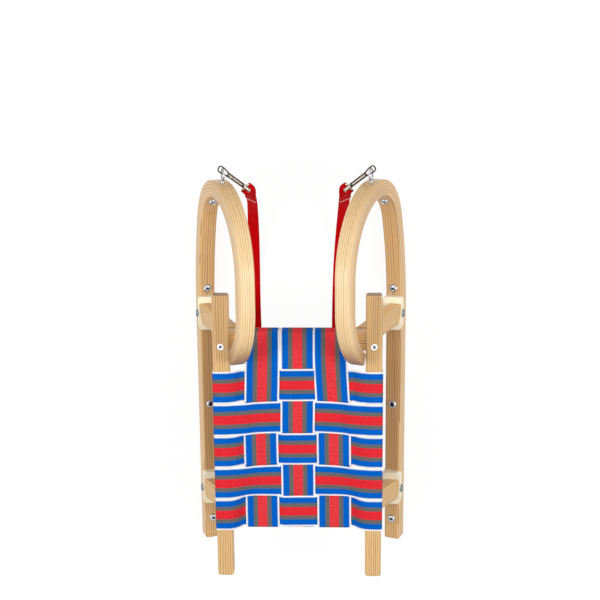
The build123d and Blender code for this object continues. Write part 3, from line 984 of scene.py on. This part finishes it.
cup_screw = pattern_object("cup_screw", rail_screw(cup_screw_level))
flush_screw = pattern_object("flush_screw", rail_screw(flush_screw_level))
washer = pattern_object("cup_washer", cup_washer())
upright = [Vector((0, 0, 1))]
for hand, sign in sides.items():
    front = [(sign * rail_x, front_crossbar_y - front_screw_back, rail_top)]
    rear = [(sign * rail_x, rear_crossbar_y, rail_top)]
    fasteners("cup_screw_" + hand, cup_screw, zinc_grey, front, upright, "rail_screws_" + hand)
    fasteners("cup_washer_" + hand, washer, zinc_white, front, upright)
    fasteners("flush_screw_" + hand, flush_screw, zinc_bright, rear, upright)


# Webbing bands
def webbing_mesh(name, stations, columns, edge_thin):
    """Band with thin edges and a UV map, through stations of a distance and a place across and off it."""
    rings = []
    marks = []
    for distance, place in stations:
        ring = []
        for side in (1, -1):
            for column in range(columns + 1):
                share = side * (2 * column / columns - 1)
                thin = edge_thin if column in (0, columns) else 1.0
                ring.append(place(share, side * thin))
                marks.append(((share + 1) / 2, distance))
        rings.append(ring)
    mesh = mesh_of(name, [skin(rings)])
    layer = mesh.uv_layers.new(name="web")
    for loop in mesh.loops:
        layer.data[loop.index].uv = marks[loop.vertex_index]
    smooth(mesh, radians(60))
    return mesh


def strap_mesh(name, track, width, place, drift_at):
    """Seat strap along a track, with its length and its two edge lines."""
    stations = []
    edges = ([], [])
    for point, along, distance in walked(track):
        off = Vector((-along.y, along.x)) * (strap_thick / 2)
        drift = drift_at(distance)

        def spot(share, side, point=point, off=off, drift=drift):
            return place(point + off * side, share * width / 2 + drift)

        stations.append((distance, spot))
        for edge, share in zip(edges, (-1, 1)):
            edge.append(spot(share, 0))
    return webbing_mesh(name, stations, columns=12, edge_thin=0.62), distance, edges


def band_mesh(name, line, normals, width, thick):
    """Flat webbing along a line, facing its normals."""
    stations = []
    for (point, along, distance), normal in zip(walked(line), normals):
        across = along.cross(normal).normalized()
        off = across.cross(along) * (thick / 2)
        across = across * (width / 2)

        def spot(share, side, point=point, across=across, off=off):
            return point + across * share + off * side

        stations.append((distance, spot))
    return webbing_mesh(name, stations, columns=6, edge_thin=0.6)


# A turn too small to round, and the share of a short side that a bend may take
straight_turn = 1e-4
bend_share = 0.48


def strap_track(points, bends):
    """Line through points, rounded at each inner point and divided into short steps."""
    line = [Vector(points[0])]
    for index in range(1, len(points) - 1):
        before, here, after = (Vector(points[i]) for i in (index - 1, index, index + 1))
        into = (here - before).normalized()
        out = (after - here).normalized()
        turn = into.angle(out)
        if turn < straight_turn:
            line.append(here)
            continue
        most = bend_share * min((here - before).length, (after - here).length)
        reach = min(bends[index - 1] * tan(turn / 2), most)
        radius = reach / tan(turn / 2)
        inside = (out - into).normalized()
        centre = here + inside * (radius / cos(turn / 2))
        count = max(3, ceil(turn / arc_step))
        start = here - into * reach - centre
        way = 1 if into.x * out.y - into.y * out.x > 0 else -1
        for step in range(count + 1):
            angle = way * turn * step / count
            line.append(centre + Vector((
                start.x * cos(angle) - start.y * sin(angle),
                start.x * sin(angle) + start.y * cos(angle),
            )))
    line.append(Vector(points[-1]))
    fine = [line[0]]
    for a, b in zip(line, line[1:]):
        steps = max(1, ceil((b - a).length / track_step))
        fine += [a.lerp(b, step / steps) for step in range(1, steps + 1)]
    return fine


# Slow and quick waves in a strap's place across its run
slow_drift = 0.0003
slow_turns = 21.0
quick_drift = 0.0002
quick_turns = 47.0
quick_shift = 1.3


def small_drift(distance):
    """Slight unevenness of a strap across its run."""
    slow = slow_drift * sin(distance * slow_turns)
    return slow + quick_drift * sin(distance * quick_turns + quick_shift)


def leaning_drift(start, end):
    """Drift of a strap that is pulled a little to one side on its way back."""
    def drift(distance):
        share = eased(ramp(distance, lean_start, lean_start + lean_run))
        return start + (end - start) * share + small_drift(distance)
    return drift


# Woven seat
last_row_y = rear_crossbar_y + last_row_ahead
rows = [last_row_y + row_pitch * index for index in reversed(range(row_count))]
columns = [column_pitch * (index - (column_count - 1) / 2) for index in range(column_count)]
lift = (strap_thick + strap_gap) / 2
clear = strap_thick / 2 + rest_gap
weave_level = crossbar_top + weave_rise
rail_edge = rail_x + rail_width / 2
slope_start = rail_edge - rail_width - slope_gap
rail_bend = rail_round + clear
bar_bend = crossbar_round + clear
front_face = front_crossbar_y + crossbar_depth / 2
rear_face = rear_crossbar_y - crossbar_depth / 2
selvedge_lines = []


def seat_lift(x, y):
    """How far the taut rows pull the weave up beside the rails, between the crossbars."""
    across = abs(x)
    inner = columns[-1] - strap_reach
    peak = columns[-1] + column_width / 2
    share = ramp(across, inner, peak) ** 1.5 if across < peak else ramp(across, slope_start, peak)
    front = ramp(y, front_crossbar_y - crossbar_depth / 2, rows[0] + strap_reach)
    rear = ramp(y, rows[-1] + strap_reach, rows[-2] + strap_reach)
    return edge_lift * share * min(front, rear)


def lifted(x, y, z):
    """Place on the seat with its lift."""
    return Vector((x, y, z + seat_lift(x, y)))


def row_is_over(row, column):
    """True where a cross row passes over a lengthwise strap."""
    return (row + column) % 2 == 1


for row, y in enumerate(rows):
    outer = [(rail_edge + clear, rail_top + clear), (slope_start, rail_top + clear)]
    if abs(y - rear_crossbar_y) < strap_reach + crossbar_depth / 2:
        outer = [(rail_edge + clear, crossbar_top + crossbar_wrap)] + outer
    else:
        under = crossbar_top - clear
        outer = [(rail_edge + clear - rail_wrap, under), (rail_edge + clear, under)] + outer
    bends = [rail_bend] * (len(outer) - 2) + [slope_bend]
    crossing = []
    for column, x in reversed(list(enumerate(columns))):
        level = weave_level + (lift if row_is_over(row, column) else -lift)
        crossing += [(x + strap_reach, level), (x - strap_reach, level)]
    weave_bends = [slope_bend] + [strap_bend] * (len(crossing) - 2) + [slope_bend]
    if not row_is_over(row, 0):
        crossing[0] = (columns[-1] + right_reach, crossing[0][1])
        crossing[-1] = (columns[0] - left_reach, crossing[-1][1])
        weave_bends[0] = weave_bends[-1] = under_bend
    points = outer + crossing + [(-x, z) for x, z in reversed(outer)]
    track = strap_track(points, bends + weave_bends + bends[::-1])
    name = f"woven_row_{row + 1}"
    mesh, length, edges = strap_mesh(
        name, track, row_width, lambda at, aside, y=y: lifted(at.x, y + aside, at.y), small_drift
    )
    piece = new_piece(name, mesh, web_across, "seat_webbing", f"cross_strap_{row + 1}")
    selvedge_lines += edges

for column, x in enumerate(columns):
    front = [
        (front_face + clear, crossbar_under + crossbar_wrap),
        (front_face + clear, crossbar_top + clear),
        (front_face - crossbar_depth, crossbar_top + clear),
    ]
    crossing = []
    for row, y in enumerate(rows):
        level = weave_level + (-lift if row_is_over(row, column) else lift)
        crossing += [(y + strap_reach, level), (y - strap_reach, level)]
    rear = [(rear_face - clear, crossing[-1][1]), (rear_face - clear, crossbar_under + crossbar_wrap)]
    bends = [bar_bend, bar_bend] + [strap_bend] * (len(crossing) - 1) + [bar_bend]
    track = strap_track(front + crossing[:-1] + rear, bends)
    name = f"woven_column_{column + 1}"
    drift = leaning_drift(*column_leans[column])
    mesh, length, edges = strap_mesh(
        name, track, column_width, lambda at, aside, x=x: lifted(x + aside, at.x, at.y), drift
    )
    piece = new_piece(name, mesh, web_along, "seat_webbing", f"long_strap_{column + 1}")
    selvedge_lines += edges


# Weft loops along every edge of the webbing
def spaced(line, pitch):
    """Places and directions at an even pitch along a line of points."""
    places = []
    aims = []
    carry = pitch / 2
    for a, b in zip(line, line[1:]):
        length = (b - a).length
        while carry <= length:
            places.append(a.lerp(b, carry / length))
            aims.append((b - a).normalized())
            carry += pitch
        carry -= length
    return places, aims


loop_points = []
loop_aims = []
for line in selvedge_lines:
    places, aims = spaced(line, pick_pitch)
    loop_points += places
    loop_aims += aims
beads("selvedge_loops", loop_points, loop_aims, selvedge_radius, selvedge_length, "seat_webbing")

# Eye bolts, snap hooks and the pull strap's ends, on the right-hand side
upward = Vector((0, 0, 1))
eye_middle, _, eye_inward = stave_frame(stave_place(crown_run, eye_share))
eye_seat = eye_middle - eye_inward * half
eye_axis = -eye_inward
ring_centre = eye_seat + eye_axis * (eye_collar_height + eye_radius + eye_wire / 2)
strap_start = Vector(pull_route[0])
strap_heading = (Vector(pull_route[1]) - strap_start).normalized()
level_across = upward.cross(strap_heading).normalized()
level_face = strap_heading.cross(level_across).normalized()
strap_across = level_across * cos(end_twist) + level_face * sin(end_twist)
bar_middle = strap_start - strap_heading * (hook_bar_depth / 2)
ring_end = ring_centre + eye_axis * eye_radius
hang = (bar_middle - ring_end).normalized()
ring_axis = (hang - eye_axis * hang.dot(eye_axis)).normalized()
hook_out = -hang
hook_wide = (eye_axis - hang * eye_axis.dot(hang)).normalized()
hook_face = hook_out.cross(hook_wide)
fold_middle = bar_middle + hook_out * fold_ahead
fold_across = level_across * cos(fold_twist) + level_face * sin(fold_twist)
hook_length = (ring_end - fold_middle).length
swivel_lift = (upward - hook_out * hook_out.z).normalized() * swivel_rise
body_end = hook_length - body_short


def eye_bolt_parts():
    """Welded eye with its collar, shank and nut."""
    second = ring_axis.cross(eye_axis).normalized()
    ring_middle = ring_centre + eye_axis * (eye_radius * eye_growth)
    reach = eye_radius * (1 + eye_growth)
    ring = [ring_middle + (eye_axis * cos(a) + second * sin(a)) * reach for a in angles(40)]
    low, high = eye_collar * 0.62, eye_collar
    profile = [(eye_shank, -runner_height - nut_height), (eye_shank, -0.0001), (high, -0.0001)]
    profile += [(high, 0.0012), (high * 0.92, 0.0019), (low, 0.0024), (low * 0.8, 0.0034), (0.0004, 0.0038)]
    base = eye_seat - eye_axis * runner_height
    across = eye_axis.orthogonal().normalized()
    other = eye_axis.cross(across)
    nut = []
    for nut_ring in nut_rings(lower_hole=0.62, upper_hole=[(0.6, 1.0)]):
        nut.append([base + across * p.x + other * p.y - eye_axis * p.z for p in nut_ring])
    return [
        tube_along(ring, eye_visible_wire, ring_axis, count=14, closed=True),
        turned(profile, eye_seat, eye_axis),
        skin(nut),
    ]


def hook_point(ahead, aside=0.0):
    """Place on the snap hook: along it from the strap's fold, and across its flat."""
    return fold_middle + hook_out * ahead + hook_wide * aside


def rounded_line(points, closed=False, steps=8):
    """Points of a smooth line that is drawn towards the given ones."""
    line = []
    count = len(points)
    for index in range(count if closed else count - 2):
        a, b, c = (points[(index + step) % count] for step in range(3))
        begin = a if index == 0 and not closed else (a + b) / 2
        end = c if index == count - 3 and not closed else (b + c) / 2
        for share in (step / steps for step in range(steps)):
            line.append(begin * (1 - share) ** 2 + b * (2 * share * (1 - share)) + end * share ** 2)
    if not closed:
        line.append(points[-1])
    return line


# Small distances and steps of the snap hooks
band_back = 0.001
knob_back = 0.006
bar_spare = 0.0004
pin_steps = 6


def snap_hook_frame():
    """Dark parts of a bolt snap: its slotted body's two sides and the hook that they run into."""
    far = hook_length + hook_past_eye
    outline = [(body_start, 0.0025), (body_end, 0.0025), (body_end + 0.004, 0.0034)]
    outline += [(hook_length, 0.0050), (far, 0.0048), (far + 0.0006, -0.0012)]
    outline += [(far - 0.0024, -0.0046), (hook_length - 0.002, -0.0046)]
    outline += [(body_end + 0.002, -0.0026), (body_start, -0.0025)]
    line = rounded_line([hook_point(ahead, aside) for ahead, aside in outline])
    parts = [tube_along(line, hook_wire, hook_face)]
    band = [(0.0012, 0.0), (0.0036, 0.0003), (0.0036, 0.0019), (0.0012, 0.0022)]
    for place in (body_start, body_end - band_back):
        parts.append(turned(band, hook_point(place), hook_out, count=24))
    return parts


def snap_hook_core():
    """Light parts of a bolt snap: the strap's loop, the ribbed swivel, the sprung bolt and its thumb knob."""
    bar = fold_across * (pull_width / 2 + bar_spare)
    neck = fold_middle + hook_out * neck_ahead
    narrow = fold_across * neck_half
    corners = [fold_middle - bar, fold_middle, fold_middle + bar, neck + narrow, neck, neck - narrow]
    swivel = [(0.0014, -0.0030), (0.0036, -0.0025), (0.0039, -0.0017), (0.0039, 0.0005), (0.0027, 0.0010)]
    swivel += [(0.0027, 0.0020), (0.0039, 0.0025), (0.0039, 0.0047), (0.0027, 0.0052), (0.0027, 0.0064)]
    swivel += [(0.0036, 0.0069), (0.0036, 0.0090), (0.0026, 0.0096), (0.0020, 0.0106)]
    body_run = body_end - body_start
    pin = [hook_point(body_start + body_run * step / pin_steps) for step in range(pin_steps + 1)]
    knob = [(0.0010, 0.0), (0.0010, 0.0026), (0.0020, 0.0030), (0.0020, 0.0041), (0.0009, 0.0048)]
    return [
        tube_along(rounded_line(corners, closed=True), loop_wire, hook_face, count=10, closed=True),
        turned(swivel, fold_middle + swivel_lift, hook_out, count=24),
        tube_along(pin, pin_wire, hook_face),
        turned(knob, hook_point(body_end - knob_back), hook_face, count=16),
    ]


def metal_piece(name, sign, parts, material, *nodes):
    """Piece for one side from right-hand points and faces."""
    mesh = mesh_of(name, [([handed(p, sign) for p in points], faces) for points, faces in parts])
    smooth(mesh)
    return new_piece(name, mesh, material, "zinc", *nodes)


for hand, sign in sides.items():
    metal_piece("welded_eye_" + hand, sign, eye_bolt_parts(), zinc_bright, "eye_bolt_" + hand)
    metal_piece("bolt_snap_" + hand, sign, snap_hook_frame(), nickel_dark, "snap_hook_" + hand)
    metal_piece("bolt_snap_swivel_" + hand, sign, snap_hook_core(), nickel_light)


# Pull strap and its sewn ends
def route_line(route):
    """Points read from the route's own smooth spline."""
    data = bpy.data.curves.new("pull_route", "CURVE")
    data.dimensions = "3D"
    data.resolution_u = 8
    spline = data.splines.new("NURBS")
    spline.points.add(len(route) - 1)
    for point, place in zip(spline.points, route):
        point.co = (*place, 1.0)
    spline.order_u = 3
    spline.use_endpoint_u = True
    carrier = bpy.data.objects.new("pull_route", data)
    bpy.context.collection.objects.link(carrier)
    graph = bpy.context.evaluated_depsgraph_get()
    mesh = bpy.data.meshes.new_from_object(carrier.evaluated_get(graph))
    line = [vertex.co.copy() for vertex in mesh.vertices]
    bpy.data.objects.remove(carrier)
    bpy.data.meshes.remove(mesh)
    return line


pull_line = route_line(pull_route)
pull_run = list(walked(pull_line))[-1][2]
pull_normals = []
for _, along, distance in walked(pull_line):
    across = upward.cross(along).normalized()
    from_end = min(distance, pull_run - distance)
    turn = end_twist * (1 - eased(ramp(from_end, twist_start, twist_start + twist_run)))
    pull_normals.append(along.cross(across) * cos(turn) - across * sin(turn))
pull_mesh = band_mesh("red_pull_strap", pull_line, pull_normals, pull_width, pull_thick)
pull_strap = new_piece("red_pull_strap", pull_mesh, red_web, "pull_webbing", "pull_strap")


def on_strap(distance, raised=0.0):
    """Place at a distance from the strap's right end, raised off its upper face."""
    for before, here, normal in zip(pull_line, pull_line[1:], pull_normals[1:]):
        step = (here - before).length
        if distance <= step:
            return before.lerp(here, distance / step) + normal * raised
        distance -= step


# Sewn loops: shares of the strap's thickness and width, the fold's bend and the way to the seam
layer_gap = 1.04
stitch_rise = 0.56
loop_thin = 0.96
seam_share = 0.84
loop_bulge = 1.15
loop_top = 0.9
loop_front = 0.7
loop_back = 0.3
flap_shares = (0.8, 0.55, 0.3)
# The flap's length past its seam, and where its other end lies on the strap
flap_spare = 0.004
tuck_ends = (0.008, 0.016)


def sewn_loop():
    """Right-hand strap end folded round its hook's bar and sewn back on itself: line, faces and seam."""
    rise = (fold_middle - strap_start).normalized()
    fold_face = rise.cross(-fold_across).normalized()
    layer = pull_thick * layer_gap
    bend = fold_bend * loop_bulge
    top = fold_middle + rise * (fold_bend * loop_top)
    flat_part = [on_strap(seam_away + flap_spare, layer)]
    flat_part += [on_strap(seam_away * share, layer) for share in flap_shares]
    folded = [strap_start + fold_face * (fold_bend * loop_front)]
    folded += [fold_middle + fold_face * bend, top + fold_face * bend]
    folded += [top - fold_face * bend, fold_middle - fold_face * bend]
    folded += [strap_start - fold_face * (fold_bend * loop_back)]
    under = [on_strap(distance) for distance in tuck_ends]
    line = rounded_line(flat_part + folded + under)
    widths = [strap_across] * len(flat_part) + [fold_across] * len(folded) + [strap_across] * len(under)
    facing = []
    for (_, along, _), across in zip(walked(line), rounded_line(widths)):
        facing.append(across.cross(along).normalized())
    seam = []
    for step in range(stitch_count):
        aside = strap_across * ((step / (stitch_count - 1) - 0.5) * pull_width * seam_share)
        seam.append(on_strap(seam_away, layer + pull_thick * stitch_rise) + aside)
    return line, facing, seam


for hand, sign in sides.items():
    line, facing, seam = ([handed(p, sign) for p in places] for places in sewn_loop())
    mesh = band_mesh("strap_loop_" + hand, line, facing, pull_width, pull_thick * loop_thin)
    new_piece("strap_loop_" + hand, mesh, red_web, "pull_webbing")
    aims = [handed(strap_across, sign)] * len(seam)
    beads("strap_seam_" + hand, seam, aims, stitch_radius, stitch_length, "pull_webbing")

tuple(pull_route[0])
[tuple(point) for point in pull_line]


# Studio: white floor and surround, two broad soft lamps beside the sled and one above its front
floor_size = 14
floor_grey = (0.86, 0.86, 0.86, 1)
white = (1, 1, 1, 1)
floor_glow = 1.03
glow_share = 0.9
fill_light = 0.40
lamp_target = Vector((0, 0, 0.1))


def seen_ray(start):
    """1 for rays from the camera, mirrored or passed, 0 for rays that only light."""
    rays = ("Is Camera Ray", "Is Glossy Ray", "Is Transmission Ray")
    first, second, third = [start.node("ShaderNodeLightPath", None, None, ray) for ray in rays]
    return first.most(second).most(third)


def studio_floor():
    """White floor that keeps the sled's shadow, and shows as plain white to the camera and in metal."""
    bpy.ops.mesh.primitive_plane_add(size=floor_size)
    floor = bpy.context.object
    floor.name = "floor"
    material, start = new_material("floor_white", Roughness=0.9, Specular_IOR_Level=0.0)
    nodes = material.node_tree.nodes
    nodes["Principled BSDF"].inputs["Base Color"].default_value = floor_grey
    plain = Shade(start.tree, nodes["Principled BSDF"].outputs[0])
    glow = start.node("ShaderNodeEmission", None, {"Color": white, "Strength": floor_glow})
    mixed = start.node("ShaderNodeMixShader", None, {0: seen_ray(start) * glow_share, 1: plain, 2: glow})
    start.tree.links.new(mixed.socket, nodes["Material Output"].inputs["Surface"])
    floor.data.materials.append(material)


def studio_world():
    """Even white surround."""
    world = bpy.data.worlds.new("studio")
    bpy.context.scene.world = world
    world.use_nodes = True
    tree = world.node_tree
    background = tree.nodes["Background"]
    strength = fill_light + seen_ray(Shade(tree)) * (1 - fill_light)
    tree.links.new(strength.socket, background.inputs["Strength"])
    background.inputs["Color"].default_value = white


def lamp(name, place, size, power):
    """Square soft lamp aimed at the sled's middle."""
    data = bpy.data.lights.new(name, "AREA")
    data.shape = "SQUARE"
    data.size = size
    data.energy = power
    lamp_object = bpy.data.objects.new(name, data)
    bpy.context.collection.objects.link(lamp_object)
    turn = (lamp_target - Vector(place)).to_track_quat("-Z", "Y")
    lamp_object.matrix_world = Matrix.Translation(place) @ turn.to_matrix().to_4x4()


studio_floor()
studio_world()
lamp("right_softbox", (1.3, 0.12, 1.65), size=0.9, power=17)
lamp("left_softbox", (-1.3, 0.12, 1.65), size=0.9, power=17)
lamp("front_softbox", (0.1, 1.6, 1.9), size=1.0, power=9)
bpy.context.scene.view_settings.view_transform = "Standard"
